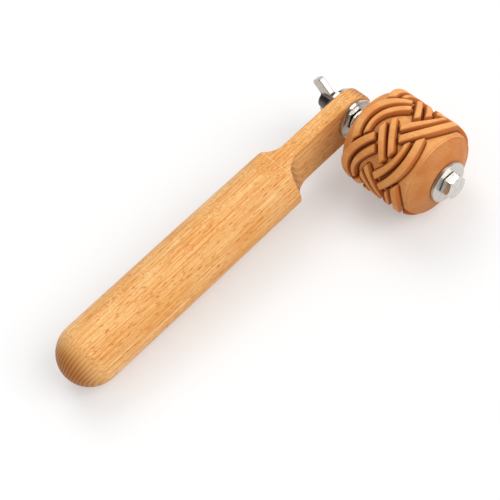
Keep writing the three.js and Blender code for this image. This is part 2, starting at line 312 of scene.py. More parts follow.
def make_beech_figure():
    group, given, result = new_group(
        "Beech figure",
        {"Position": "Vector", "Facing": "Vector", "Ring width": "Float", "Heart distance": "Float"},
        {"Flecks": "Float", "Flakes": "Float", "Streaks": "Float", "Rings": "Float", "Pores": "Float",
         "Clouds": "Float", "End grain": "Float"},
    )
    given = given.outputs
    to_mm = {0: given["Position"], "Scale": 1 / MM}
    place = add_node(group, "VectorMath", to_mm, operation="SCALE").outputs["Vector"]

    def noise(name):
        """A noise from the table, sharpened if the table says so."""
        size, detail, fade = NOISES[name]
        scaled = vector_maths(group, "MULTIPLY", place, tuple(1 / length for length in size))
        settings = {"Vector": scaled, "Scale": 1.0, "Detail": detail, "Roughness": NOISE_ROUGHNESS}
        cloudy = add_node(group, "TexNoise", settings, label=name).outputs["Fac"]
        return remap(group, cloudy, *fade) if fade else cloudy

    def faces(direction):
        """How squarely the surface looks along a direction, either way."""
        square = vector_maths(group, "DOT_PRODUCT", given["Facing"], direction, result="Value")
        return calculate(group, "ABSOLUTE", square)

    end_grain = remap(group, faces((0, 1, 0)), *END_GRAIN_FADE)
    side_grain = remap(group, faces((0, 1, 0)), *SIDE_GRAIN_FADE, 1.0, 0.0)
    flake_side = remap(group, faces(FLAKE_SIDE), *FLAKE_FADE)
    flecks, pores, streaks = (
        calculate(group, "MULTIPLY", noise(name), side_grain) for name in ("flecks", "pores", "streaks")
    )
    silky = calculate(group, "MULTIPLY", noise("curls"), noise("patches"))
    flakes = calculate(group, "MULTIPLY", silky, flake_side)
    clouds = noise("clouds")

    across_grain = vector_maths(group, "MULTIPLY", place, (1, 0, 1))
    heart = add_node(group, "CombineXYZ", {"Z": given["Heart distance"]}).outputs[0]
    from_heart = vector_maths(group, "ADD", across_grain, heart)
    reach = vector_maths(group, "LENGTH", from_heart, result="Value")
    wavering = calculate(group, "MULTIPLY_ADD", noise("waver"), WAVER_REACH, reach)
    year = calculate(group, "DIVIDE", wavering, given["Ring width"])
    rings = remap(group, calculate(group, "FRACT", year), *RING_FADE)

    fill_inputs(group, result, {
        "Flecks": flecks, "Flakes": flakes, "Streaks": streaks, "Rings": rings, "Pores": pores,
        "Clouds": clouds, "End grain": end_grain,
    })
    return group


beech_figure = make_beech_figure()
print("group:", beech_figure.name, "with", len(beech_figure.nodes), "nodes")

# %% [markdown]
# Both woods start from the same figure, turned so that the grain runs along the handle or along
# the roller. The colour is built up as a painter would: the plain wood, the cloudy tone, then rings
# and streaks, and the dark flecks last. End grain drinks oil and goes darker, so the butt of the
# handle and the cones of the roller get a deeper brown. The arris where the handle's top starts to
# ease down to the tongue is painted a little paler: partly wear, and partly a painted highlight
# where the edge catches the light. Its mesh will carry a mask for that.

# %% Wood materials
RING_WIDTH = 1.6
HEART_DISTANCE = 70.0
CLOUD_FADE = (0.3, 0.7)
FLECK_DIP = 0.4
FLECK_ROUGHNESS = 0.12
GRAIN_BUMP = 0.2
GRAIN_DEPTH = 0.03 * MM
OILED_SHINE = 0.1
ARRIS_WEAR_AND_HIGHLIGHT = 0.35
ARRIS_WEAR_AND_HIGHLIGHT_COLOUR = colour(255, 226, 176)


def wood(name, turn, colours, strengths, roughness):
    """A beech material. Its tree, shader and base colour are returned, so that more can be added."""
    material, tree, shader = new_material(name)
    colours = {tone: colour(*values) for tone, values in colours.items()}
    coordinates = add_node(tree, "TexCoord").outputs
    place = add_node(tree, "Mapping", {"Vector": coordinates["Object"], "Rotation": turn},
                     vector_type="POINT").outputs[0]
    facing = add_node(tree, "Mapping", {"Vector": coordinates["Normal"], "Rotation": turn},
                      vector_type="VECTOR").outputs[0]
    figure = place_group(tree, beech_figure, {
        "Position": place, "Facing": facing, "Ring width": RING_WIDTH, "Heart distance": HEART_DISTANCE,
    }).outputs
    cloud = remap(tree, figure["Clouds"], *CLOUD_FADE)
    base = mix_colours(tree, cloud, colours["pale"], colours["plain"])
    on_ends = (figure["End grain"], strengths["end_ring"], strengths["ring"])
    ring = calculate(tree, "MULTIPLY", figure["Rings"], calculate(tree, "MULTIPLY_ADD", *on_ends))
    base = mix_colours(tree, ring, base, colours["ring"])
    for layer, tone in (("Streaks", "streak"), ("Pores", "pore"), ("Flakes", "flake"), ("Flecks", "fleck")):
        share = calculate(tree, "MULTIPLY", figure[layer], strengths[tone])
        base = mix_colours(tree, share, base, colours[tone])
    deeper = mix_colours(tree, 1.0, base, colours["end"], "MULTIPLY")
    base = mix_colours(tree, figure["End grain"], base, deeper)
    dip = calculate(tree, "MULTIPLY_ADD", figure["Flecks"], FLECK_DIP, figure["Pores"])
    height = calculate(tree, "SUBTRACT", 1.0, dip)
    bump = add_node(tree, "Bump", {"Strength": GRAIN_BUMP, "Distance": GRAIN_DEPTH, "Height": height})
    dullness = calculate(tree, "MULTIPLY_ADD", figure["Flecks"], FLECK_ROUGHNESS, roughness)
    fill_inputs(tree, shader, {
        "Base Color": base, "Roughness": dullness, "Normal": bump.outputs[0],
        "Specular IOR Level": OILED_SHINE,
    })
    return material, tree, shader, base


handle_wood, handle_tree, handle_shader, handle_base = wood(
    "oiled_beech", (0, math.radians(72), 0),
    {"pale": (252, 206, 142), "plain": (243, 183, 112), "ring": (210, 146, 78),
     "streak": (222, 140, 64), "pore": (210, 130, 56), "fleck": (192, 100, 34),
     "flake": (255, 214, 148), "end": (202, 170, 142)},
    {"ring": 0.2, "end_ring": 0.8, "streak": 0.75, "pore": 0.35, "fleck": 0.7, "flake": 0.45},
    0.42,
)
carved_wood, carved_tree, carved_shader, carved_base = wood(
    "carved_beech", (math.radians(60), 0, math.radians(90)),
    {"pale": (244, 178, 110), "plain": (234, 156, 88), "ring": (216, 136, 66),
     "streak": (214, 132, 64), "pore": (200, 112, 50), "fleck": (196, 104, 44),
     "flake": (244, 186, 120), "end": (222, 206, 200)},
    {"ring": 0.08, "end_ring": 0.07, "streak": 0.25, "pore": 0.2, "fleck": 0.3, "flake": 0.2},
    0.5,
)
# Painted highlight, partly wear: the handle's arris is mixed towards a paler colour.
arris_wear_and_highlight = calculate(handle_tree, "MULTIPLY", mesh_mask(handle_tree, "arris"), ARRIS_WEAR_AND_HIGHLIGHT)
handle_base = mix_colours(handle_tree, arris_wear_and_highlight, handle_base, ARRIS_WEAR_AND_HIGHLIGHT_COLOUR)
handle_tree.links.new(handle_base, handle_shader.inputs["Base Color"])
print("materials:", handle_wood.name, "and", carved_wood.name)

# %% [markdown]
# The carved wood gets painted shade in its cuts: it is painted darker the narrower the cut is.
# The roller's mesh will carry two masks for that: how far a point lies below what is round it, and
# how steep it is there.

# %% Painted shade in the roller's cuts
WALL_SHADE_SHARE = 0.8
HOLLOW_SHADE_FADE = (0.03, 0.31)
WALL_SHADE_COLOUR = colour(188, 102, 42)
HOLLOW_SHADE_COLOUR = colour(120, 56, 16)

# Painted shade: steep walls and deep hollows of the carving are painted darker.
hollow_shade = mesh_mask(carved_tree, "hollow_shade")
wall_shade_share = calculate(carved_tree, "MULTIPLY", mesh_mask(carved_tree, "wall"), WALL_SHADE_SHARE)
shaded_cut_sides = mix_colours(carved_tree, wall_shade_share, carved_base, WALL_SHADE_COLOUR)
depth_shade_share = remap(carved_tree, hollow_shade, *HOLLOW_SHADE_FADE)
shaded_cut_wood = mix_colours(carved_tree, depth_shade_share, shaded_cut_sides, HOLLOW_SHADE_COLOUR)
carved_tree.links.new(shaded_cut_wood, carved_shader.inputs["Base Color"])
print("the carved wood is darker in its cuts")

# %% [markdown]
# Plated steel is bright and almost white, but never perfect: its shine wanders a little from place
# to place and very fine scratches cross it. The group gives both as masks, and each material uses
# its own amounts, because the turned washers are smoother than the cast wing nut. The wing nut's
# mesh will carry a mask for the recess round its boss, which gets painted shade and a duller finish. The wing
# nut's
# mesh will carry a mask, "recess", for the places that polishing never reached.

# %% Node group: plated finish
SCRATCH_STRETCH = (0.15, 1.0, 1.0)
SCRATCHES_PER_MM = 4.0
SCRATCH_FADE = (0.58, 0.75)
SCRATCH_DETAIL = 2.0
SCRATCH_WAVER = 0.6
MOTTLE_DETAIL = 3.0
MOTTLE_RELIEF = 0.7


def make_plated_finish():
    group, given, result = new_group(
        "Plated finish", {"Position": "Vector", "Grain size": "Float"},
        {"Mottle": "Float", "Scratches": "Float", "Height": "Float"},
    )
    given = given.outputs
    size = calculate(group, "DIVIDE", 1 / MM, given["Grain size"])
    blobs = {"Vector": given["Position"], "Scale": size, "Detail": MOTTLE_DETAIL}
    mottle = add_node(group, "TexNoise", blobs).outputs["Fac"]
    stretched = vector_maths(group, "MULTIPLY", given["Position"], SCRATCH_STRETCH)
    lines = {"Vector": stretched, "Scale": SCRATCHES_PER_MM / MM, "Detail": SCRATCH_DETAIL,
             "Distortion": SCRATCH_WAVER}
    scratches = remap(group, add_node(group, "TexNoise", lines).outputs["Fac"], *SCRATCH_FADE)
    relief = calculate(group, "MULTIPLY", mottle, MOTTLE_RELIEF)
    height = calculate(group, "SUBTRACT", relief, scratches)
    fill_inputs(group, result, {"Mottle": mottle, "Scratches": scratches, "Height": height})
    return group


plated_finish = make_plated_finish()
print("group:", plated_finish.name, "with", len(plated_finish.nodes), "nodes")

# %% Steel materials
DULL_SHARE = colour(238, 237, 235)
RECESS_SHADE_COLOUR = colour(112, 102, 96)
RECESS_ROUGHNESS = 0.3
SCRATCH_ROUGHNESS = 0.08
DULL_FADE = (0.35, 0.7)
ROUGHNESS_FADE = (0.3, 0.7)
PLATING_DEPTH = 0.03 * MM


def steel(name, tint, grain_size, roughness, mottling, bumpiness):
    """A plated steel. Where a mesh masks a recess, the steel gets painted shade and is dull."""
    material, tree, shader = new_material(name)
    place = add_node(tree, "TexCoord").outputs["Object"]
    finish = place_group(tree, plated_finish, {"Position": place, "Grain size": grain_size}).outputs
    dull = mix_colours(tree, 1.0, tint, DULL_SHARE, "MULTIPLY")
    base = mix_colours(tree, remap(tree, finish["Mottle"], *DULL_FADE), tint, dull)
    # Painted shade: where the recess mask says, the steel is painted dark and made duller.
    shaded_recess = mesh_mask(tree, "shaded_recess")
    dullness = remap(tree, finish["Mottle"], *ROUGHNESS_FADE, roughness - mottling, roughness + mottling)
    dullness = calculate(tree, "MULTIPLY_ADD", finish["Scratches"], SCRATCH_ROUGHNESS, dullness)
    relief = {"Strength": bumpiness, "Distance": PLATING_DEPTH, "Height": finish["Height"]}
    fill_inputs(tree, shader, {
        "Metallic": 1.0,
        "Base Color": mix_colours(tree, shaded_recess, base, RECESS_SHADE_COLOUR),
        "Roughness": calculate(tree, "MULTIPLY_ADD", shaded_recess, RECESS_ROUGHNESS, dullness),
        "Normal": add_node(tree, "Bump", relief).outputs[0],
    })
    return material


bright_steel = steel("bright_plated_steel", colour(218, 215, 210), 1.2, 0.19, 0.03, 0.02)
satin_steel = steel("satin_plated_steel", colour(214, 211, 206), 1.2, 0.34, 0.03, 0.02)
cast_steel = steel("cast_plated_steel", colour(192, 184, 174), 0.9, 0.14, 0.04, 0.06)
print("materials:", ", ".join(material.name for material in (bright_steel, satin_steel, cast_steel)))

# %% [markdown]
# Most pieces are made from rings of points, so a few helpers come first: one joins a grid of points
# into faces, one rounds the corners of an outline, and one spaces points evenly along it. Another
# pulls points onto an exact surface. That surface is given by a distance: below zero inside the
# piece, above zero outside. Two shapes are cut to what they share, or joined, with a round of a
# given radius at the edge, which is how real edges look after sanding or casting.

# %% Helpers for shapes
SHARP_FROM = 42
SAME_PLACE = 0.002
PROBE = 0.002
LEAST_SLOPE = 0.3


def grid_faces(rows, columns, closed=False):
    """Quads between rings of points. With closed, the last ring is joined to the first."""
    row = np.arange(rows if closed else rows - 1)[:, None]
    column = np.arange(columns)[None, :]
    after, beside = (row + 1) % rows, (column + 1) % columns
    corners = [
        row * columns + column, row * columns + beside,
        after * columns + beside, after * columns + column,
    ]
    return np.stack(corners, -1).reshape(-1, 4)


def rounded_outline(corners, steps=6):
    """A closed outline whose corners, given as (across, up, round), are turned in a smooth curve."""
    points = []
    for index, (x, y, cut) in enumerate(corners):
        here = np.array((x, y), float)
        if cut <= 0:
            points.append(here)
            continue
        ends = []
        for other in (corners[index - 1], corners[(index + 1) % len(corners)]):
            way = np.array(other[:2], float) - here
            ends.append(here + way * min(cut / np.hypot(*way), 0.5))
        for share in np.linspace(0, 1, steps + 1):
            points.append((1 - share) ** 2 * ends[0] + 2 * share * (1 - share) * here + share ** 2 * ends[1])
    return np.array(points)


def spaced(outline, spacing):
    """More points along a closed outline, so that none are further apart than the spacing."""
    points = []
    for start, end in zip(outline, np.roll(outline, -1, axis=0)):
        count = max(1, math.ceil(np.hypot(*(end - start)) / spacing))
        points.extend(start + (end - start) * step / count for step in range(count))
    return np.array(points)


def outline_distance(points, outline):
    """Distance of flat points from a closed outline, below zero inside it."""
    nearest = np.full(len(points), np.inf)
    inside = np.zeros(len(points), bool)
    x, y = points.T
    for start, end in zip(outline, np.roll(outline, -1, axis=0)):
        way = end - start
        share = np.clip(((points - start) @ way) / max(way @ way, 1e-12), 0, 1)
        nearest = np.minimum(nearest, np.hypot(x - start[0] - share * way[0], y - start[1] - share * way[1]))
        if start[1] != end[1]:
            crosses = (start[1] > y) != (end[1] > y)
            inside ^= crosses & (x < start[0] + (y - start[1]) * way[0] / way[1])
    return np.where(inside, -nearest, nearest)


def shared(first, second, radius):
    """Distance from what two shapes share, with their common edge rounded."""
    corner = np.hypot(np.maximum(first + radius, 0), np.maximum(second + radius, 0))
    return np.minimum(-radius, np.maximum(first, second)) + corner


def joined(first, second, radius):
    """Distance from two shapes together, with a fillet where they meet."""
    return -shared(-first, -second, radius)


def settle(points, distance, steps=6):
    """Moves points straight onto the surface where the distance is zero."""
    for _ in range(steps):
        here = distance(points)
        slope = np.stack([
            (distance(points + PROBE * axis) - distance(points - PROBE * axis)) / (2 * PROBE)
            for axis in np.eye(3)
        ], -1)
        steepness = np.maximum((slope ** 2).sum(-1, keepdims=True), LEAST_SLOPE)
        points = points - here[:, None] * slope / steepness
    return points


def rings_along_x(x, radius, columns):
    """Rings of points round the bolt's axis, one for each x and radius. Both may vary round the ring."""
    angle = np.linspace(0, 2 * math.pi, columns, endpoint=False)[None, :]
    x, radius = x.reshape(len(x), -1), radius.reshape(len(radius), -1)
    x, radius, angle = np.broadcast_arrays(x, radius, angle)
    return np.stack([x, radius * np.cos(angle), radius * np.sin(angle)], -1)


def set_masks(mesh, masks):
    """Gives each point of a mesh its value in each mask."""
    for mask, values in masks.items():
        attribute = mesh.attributes.new(mask, "FLOAT", "POINT")
        attribute.data.foreach_set("value", values.astype(np.float32).ravel())


def clean(mesh):
    """Joins points that are in the same place and turns all faces outwards. Counts the open edges."""
    shape = bmesh.new()
    shape.from_mesh(mesh)
    bmesh.ops.remove_doubles(shape, verts=shape.verts, dist=SAME_PLACE * MM)
    bmesh.ops.recalc_face_normals(shape, faces=shape.faces)
    shape.to_mesh(mesh)
    open_edges = sum(not edge.is_manifold for edge in shape.edges)
    shape.free()
    return open_edges


def with_modifiers(thing):
    """The mesh that an object's modifiers make of it."""
    bpy.context.view_layer.update()
    return bpy.data.meshes.new_from_object(thing.evaluated_get(bpy.context.evaluated_depsgraph_get()))


def place_piece(mesh, body, replaced, material):
    """Sets a finished mesh on its body and lets it stand for a CAD node."""
    mesh.materials.append(material)
    piece = bpy.data.objects.new(mesh.name, mesh)
    scene.collection.objects.link(piece)
    piece.matrix_world = tool
    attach(piece, body)
    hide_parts(replaced)
    return piece


def add_piece(name, points, faces, body, replaced, material, sharp_from=SHARP_FROM, masks=None):
    """Makes a piece of points in millimetres and places it."""
    mesh = bpy.data.meshes.new(name)
    mesh.from_pydata((points.reshape(-1, 3) * MM).tolist(), [], np.asarray(faces).tolist())
    set_masks(mesh, masks or {})
    open_edges = clean(mesh)
    mesh.shade_smooth()
    mesh.set_sharp_from_angle(angle=math.radians(sharp_from))
    print(f"{name}: {len(mesh.polygons)} faces, {open_edges} open edges")
    return place_piece(mesh, body, replaced, material)


print("shape helpers are ready")

# %% [markdown]
# The handle is turned round first, with a half-ball butt. Then its end is thinned: a cove on each
# side takes it in to a flat tongue, the top and bottom ease down to the tongue's height, and the
# tip is rounded about the bolt. A boolean of those shapes would leave razor-sharp edges, so the
# handle is a stack of rings that roughly follow the shape, settled onto the exact surface with
# small rounds at its edges. The rings stand closest where the shape bends most, and the tip is
# made by folding the last ring round the bolt.

# %% Handle
NECK_RADIUS = 13.75
NECK_REACH = 60.0
BELLY_REACH = 95.0
GRIP_OFFSET = 0.65
TONGUE_FACE = 3.95
TIP_RADIUS = 10.6
SHOULDER_REACH = 43.3
COVES = ((1, 12.0), (-1, 9.8))
CREASE_REACH = 42.3
EASE_LENGTH = 9.0
SHOULDER_EDGE = 0.45
TONGUE_EDGE = 0.8
CREASE_SOFTNESS = 0.12
ARRIS_WIDTH = 0.4
BOLT_HOLE_RADIUS = 3.3
HANDLE_COLUMNS = 240
BUTT_RINGS = 25
TIP_RINGS = 28
RING_STRETCHES = (
    (-GRIP_REACH, -56, 2.2), (-56, -44.4, 0.6), (-44.4, -40.6, 0.1), (-40.6, -36, 0.3),
    (-36, -24, 0.8), (-24, 0, 1.6),
)


def cove_centre(side, cove):
    """A cove's centre. It starts on the grip's side, and the grip isn't quite in line with the tongue."""
    across = TONGUE_FACE + cove
    grip_side = NECK_RADIUS + side * GRIP_OFFSET
    return across, -SHOULDER_REACH + math.sqrt(cove ** 2 - (across - grip_side) ** 2)


def grip_radius(y):
    """The grip is thickest from its butt to its belly, and a little slimmer at its neck."""
    return np.interp(y, (-BELLY_REACH, -NECK_REACH), (GRIP_RADIUS, NECK_RADIUS))


def handle_distance(points):
    x, y, z = points.T
    grip = np.hypot(np.hypot(x - GRIP_OFFSET, z), np.minimum(y + GRIP_REACH, 0)) - grip_radius(y)
    sides = []
    for side, cove in COVES:
        across, along = cove_centre(side, cove)
        sides.append(cove - np.hypot(side * x - across, np.minimum(y - along, 0)))
    tip = np.hypot(np.maximum(y, 0), z) - TIP_RADIUS
    rise = (NECK_RADIUS - TIP_RADIUS) / EASE_LENGTH
    ease = (np.abs(z) - TIP_RADIUS + rise * (y + CREASE_REACH)) / math.hypot(1, rise)
    closeness = np.maximum(CREASE_SOFTNESS - np.abs(tip - ease), 0) / CREASE_SOFTNESS
    top = np.minimum(tip, ease) - closeness ** 2 * CREASE_SOFTNESS / 4
    return shared(shared(grip, np.maximum(*sides), SHOULDER_EDGE), top, TONGUE_EDGE)


def handle_ring(y):
    """Points round the handle at one place along it, more of them where it turns a corner."""
    facing = (np.arange(HANDLE_COLUMNS) + 0.5) * 2 * math.pi / HANDLE_COLUMNS
    across, up = np.cos(facing), np.sin(facing)
    radius = float(grip_radius(y))
    if y < -GRIP_REACH:
        radius = math.sqrt(max(GRIP_RADIUS ** 2 - (y + GRIP_REACH) ** 2, 0))
        return np.stack([GRIP_OFFSET + radius * across, np.full_like(across, y), radius * up], -1)
    width = np.full_like(across, radius)
    for side, cove in COVES:
        centre_x, centre_y = cove_centre(side, cove)
        into = min(y - centre_y, 0)
        if -into < cove:
            limit = centre_x - math.sqrt(cove ** 2 - into ** 2) - side * GRIP_OFFSET
            width = np.where(side * across > 0, min(limit, radius), width)
    rise = (NECK_RADIUS - TIP_RADIUS) / EASE_LENGTH
    height = min(max(TIP_RADIUS, TIP_RADIUS - rise * (y + CREASE_REACH)), radius)
    edge = TONGUE_EDGE
    core, width, height = (size - edge for size in (radius, width, height))
    x, z = core * np.abs(across), core * np.abs(up)
    past_side, past_top = x > width, z > height
    corner_z = np.minimum(height, np.sqrt(np.maximum(core ** 2 - width ** 2, 0)))
    corner_x = np.minimum(width, np.sqrt(np.maximum(core ** 2 - height ** 2, 0)))
    x = np.where(past_side, width, np.where(past_top, corner_x, x))
    z = np.where(past_side, corner_z, np.where(past_top, height, z))
    x = GRIP_OFFSET + np.sign(across) * x + edge * across
    return np.stack([x, np.full_like(across, y), np.sign(up) * z + edge * up], -1)


def make_handle():
    butt_turns = np.linspace(0, math.pi / 2, BUTT_RINGS + 1)[:-1]
    places = [-GRIP_REACH - GRIP_RADIUS * math.cos(turn) for turn in butt_turns]
    for start, end, spacing in RING_STRETCHES:
        places.extend(np.linspace(start, end, math.ceil((end - start) / spacing), endpoint=False))
    rings = [handle_ring(y) for y in places]
    last = handle_ring(0.0)
    for fold in np.linspace(0, math.pi / 2, TIP_RINGS):
        x, z = last[:, 0], last[:, 2]
        rings.append(np.stack([x, np.abs(z) * math.sin(fold), z * math.cos(fold)], -1))
    points = settle(np.concatenate(rings), handle_distance)
    # The arris mask marks the thin band that is painted paler, partly wear and partly a painted highlight.
    on_top = np.abs(points[:, 2]) > TIP_RADIUS - 0.5
    arris = np.clip(1 - np.abs(points[:, 1] + CREASE_REACH) / ARRIS_WIDTH, 0, 1) * on_top
    return add_piece("beech_handle", points, grid_faces(len(rings), HANDLE_COLUMNS), "handle_body",
                     "handle", handle_wood, masks={"arris": arris})


def drill(piece, radius, from_x, to_x):
    """Cuts a hole along the bolt's axis with a boolean, and keeps the result as the piece's mesh."""
    columns = 96
    ends = np.array([from_x, to_x])
    points = rings_along_x(ends, np.array([radius, radius]), columns).reshape(-1, 3) * MM
    mesh = bpy.data.meshes.new("drill")
    caps = [list(range(columns)), list(range(columns, 2 * columns))]
    mesh.from_pydata(points.tolist(), [], grid_faces(2, columns).tolist() + caps)
    clean(mesh)
    cutter = bpy.data.objects.new("drill", mesh)
    scene.collection.objects.link(cutter)
    cutter.matrix_world = tool
    cut = piece.modifiers.new("hole", "BOOLEAN")
    cut.operation = "DIFFERENCE"
    cut.solver = "EXACT"
    cut.object = cutter
    drilled = with_modifiers(piece)
    piece.modifiers.clear()
    piece.data = drilled
    drilled.set_sharp_from_angle(angle=math.radians(SHARP_FROM))
    bpy.data.objects.remove(cutter)
    print(f"{piece.name}: drilled, {len(drilled.polygons)} faces")


handle = make_handle()
drill(handle, BOLT_HOLE_RADIUS, -TONGUE_FACE - 2, TONGUE_FACE + 2)

# %% [markdown]
# The plait is four strands woven round the roller, each of two bars. On the unrolled surface a
# strand swings from one edge to the other and back like a wave, and at each crossing one strand
# goes under the other, so its bars stop short of it. The same rule gives every bar's outline, and
# the outlines repeat six times round the roller.

# %% Outlines of the plait's bars
BENDS = 6
BEND_SPACING = 2 * math.pi * PLAIT_RADIUS / BENDS
BAR_WIDTH = 3.0
BAR_SPACING = 1.7
EDGE_BAR_EXTRA = 0.8
GROUND_HALF_LENGTH = 18.0
PLAIN_BAND = 1.65
STRAND_SWING = GROUND_HALF_LENGTH - PLAIN_BAND - (BAR_SPACING / 2 + BAR_WIDTH + EDGE_BAR_EXTRA)
BAR_CORNER = 0.9
BAR_STEPS = 40
TRIM_STEP = 0.01
CROSSING_STEPS = 81
STRETCHES = (
    {"ends": (-0.5, 1.0), "under": (-1, 0.5, 1.0), "next": (2, -1.0, 1.5)},
    {"ends": (1.0, 2.5), "under": (2, -1.0, 1.5), "next": (1, 1.5, 0.8)},
    {"ends": (2.5, 3.5), "under": (1, 1.5, 2.7), "next": (3, 0.5, 1.5)},
)


def strand_side(place):
    slope = -STRAND_SWING * np.sin(place * math.pi / 2) * math.pi / 2 / BEND_SPACING
    return np.stack([np.ones_like(slope), -slope], -1) / np.hypot(1, slope)[..., None]


def strand_points(place, offset):
    """Points beside a strand's middle, as x along the roller and distance round it."""
    middle = np.stack([STRAND_SWING * np.cos(place * math.pi / 2), place * BEND_SPACING], -1)
    return middle + strand_side(place) * np.asarray(offset)[..., None]


def half_width(place, side):
    return BAR_SPACING / 2 + BAR_WIDTH + EDGE_BAR_EXTRA * side * np.cos(place * math.pi / 2) ** 3


def room_beside(points, crossing_place):
    """How much room there is between points and a strand that crosses over them."""
    places = crossing_place - 1 + np.linspace(0, 2, CROSSING_STEPS)
    from_middle = points[:, None, :] - strand_points(places, np.zeros_like(places))[None]
    side = np.sign((from_middle * strand_side(places)[None]).sum(-1))
    return (np.hypot(*np.moveaxis(from_middle, -1, 0)) - half_width(places[None], side)).min(1)


def bar_edge(stretch, offset):
    """One long edge of a bar, trimmed where the strands above it need room."""
    first, last = stretch["ends"]
    places = np.linspace(first, last, round((last - first) / TRIM_STEP) + 1)
    points = strand_points(places, offset(places))
    clear = []
    for bends, place, gap in (stretch["under"], stretch["next"]):
        clear.append(room_beside(points - (0, bends * BEND_SPACING), place) > gap)
    start = int(np.argmax(clear[0]))
    end = len(places) - 1 - int(np.argmax(clear[1][::-1]))
    kept = np.linspace(places[start], places[end], BAR_STEPS)
    return strand_points(kept, offset(kept))


def bar_outline(stretch, side):
    inner = bar_edge(stretch, lambda place: np.full_like(place, side * BAR_SPACING / 2))
    outer = bar_edge(stretch, lambda place: side * half_width(place, side))
    loop = np.concatenate([inner, outer[::-1]])
    ends = (0, len(inner) - 1, len(inner), len(loop) - 1)
    corners = []
    for index, point in enumerate(loop):
        near = min(np.hypot(*(point - loop[end])) for end in ends)
        if index in ends:
            corners.append((*point, BAR_CORNER))
        elif near > BAR_CORNER * 1.05:
            corners.append((*point, 0.0))
    return rounded_outline(corners)


bar_outlines = [bar_outline(stretch, side) for stretch in STRETCHES for side in (-1, 1)]
print("the plait has", len(bar_outlines), "bars in each of its", BENDS, "bends")

# %% [markdown]
# The roller is a height map wrapped round a turned profile, because the whole relief is cut
# straight towards the axis. The distance to the nearest bar's outline gives the height: a steep
# wall and, at its top, the broad round that sanding leaves. The map starts a little below the
# ground, so that the wall meets it at full steepness. The same map gives the two masks for the
# painted shade in the cuts.

# %% Roller
ROLLER_X = 11.55
ROLLER_LENGTH = 45.2
CONE_LENGTH = 4.6
SEAT_RADIUS = 10.0
GROUND_RADIUS = 19.25
RIM_RADIUS = 21.8
RIM_WIDTH = 4.4
RIM_WALL = 0.35
ROLLER_BORE = 3.3
PLAIT_MIDDLE_X = 33.75
PLAIT_LEAN = 0.13
PLAIT_ANGLE = math.radians(112)
PLAIT_DRIFT = math.radians(5)
ROLLER_COLUMNS = 840
ROW_SPACING = 0.18
CONE_EDGE = 0.9
BURIED = 0.6
FULL_RELIEF = PLAIT_RADIUS - GROUND_RADIUS + BURIED
BAR_GROWTH = 0.06
BAR_ROUND = 0.75
WALL_WIDTH = 0.42
CARVED_FROM = 1.5
HOLLOW_REACH = 9
STEEPEST = 0.9
BORE_THINNING = 8


def relief_height(x, turn):
    """How high the plait stands at places along and round the roller, from its buried foot."""
    along = (turn * PLAIT_RADIUS - PLAIT_LEAN * x) % BEND_SPACING
    points = np.stack([x.ravel(), along.ravel()], -1)
    depth = np.full(len(points), -np.inf)
    for outline in bar_outlines:
        for bend in range(-5, 3):
            moved = outline + (0, bend * BEND_SPACING)
            if moved[:, 1].max() < -1 or moved[:, 1].min() > BEND_SPACING + 1:
                continue
            depth = np.maximum(depth, -outline_distance(points, moved))
    inward = depth + BAR_GROWTH
    from_flat = 1 - np.clip(inward / BAR_ROUND, 0, 1)
    round_drop = BAR_ROUND * (1 - np.sqrt(1 - from_flat ** 2))
    up_wall = np.clip(1 + inward / WALL_WIDTH, 0, 1)
    wall = up_wall * up_wall * (3 - 2 * up_wall) * (FULL_RELIEF - BAR_ROUND)
    return (wall + BAR_ROUND - round_drop).reshape(x.shape)


def blurred(values, reach):
    """The mean of a height map round each place. The map closes on itself round the roller."""
    weights = np.exp(-np.linspace(-2, 2, 2 * reach + 1) ** 2)
    weights /= weights.sum()
    padded = np.pad(values, ((reach, reach), (0, 0)), mode="edge")
    rows = sum(w * padded[k:k + len(values)] for k, w in enumerate(weights))
    return sum(w * np.roll(rows, k - reach, axis=1) for k, w in enumerate(weights))


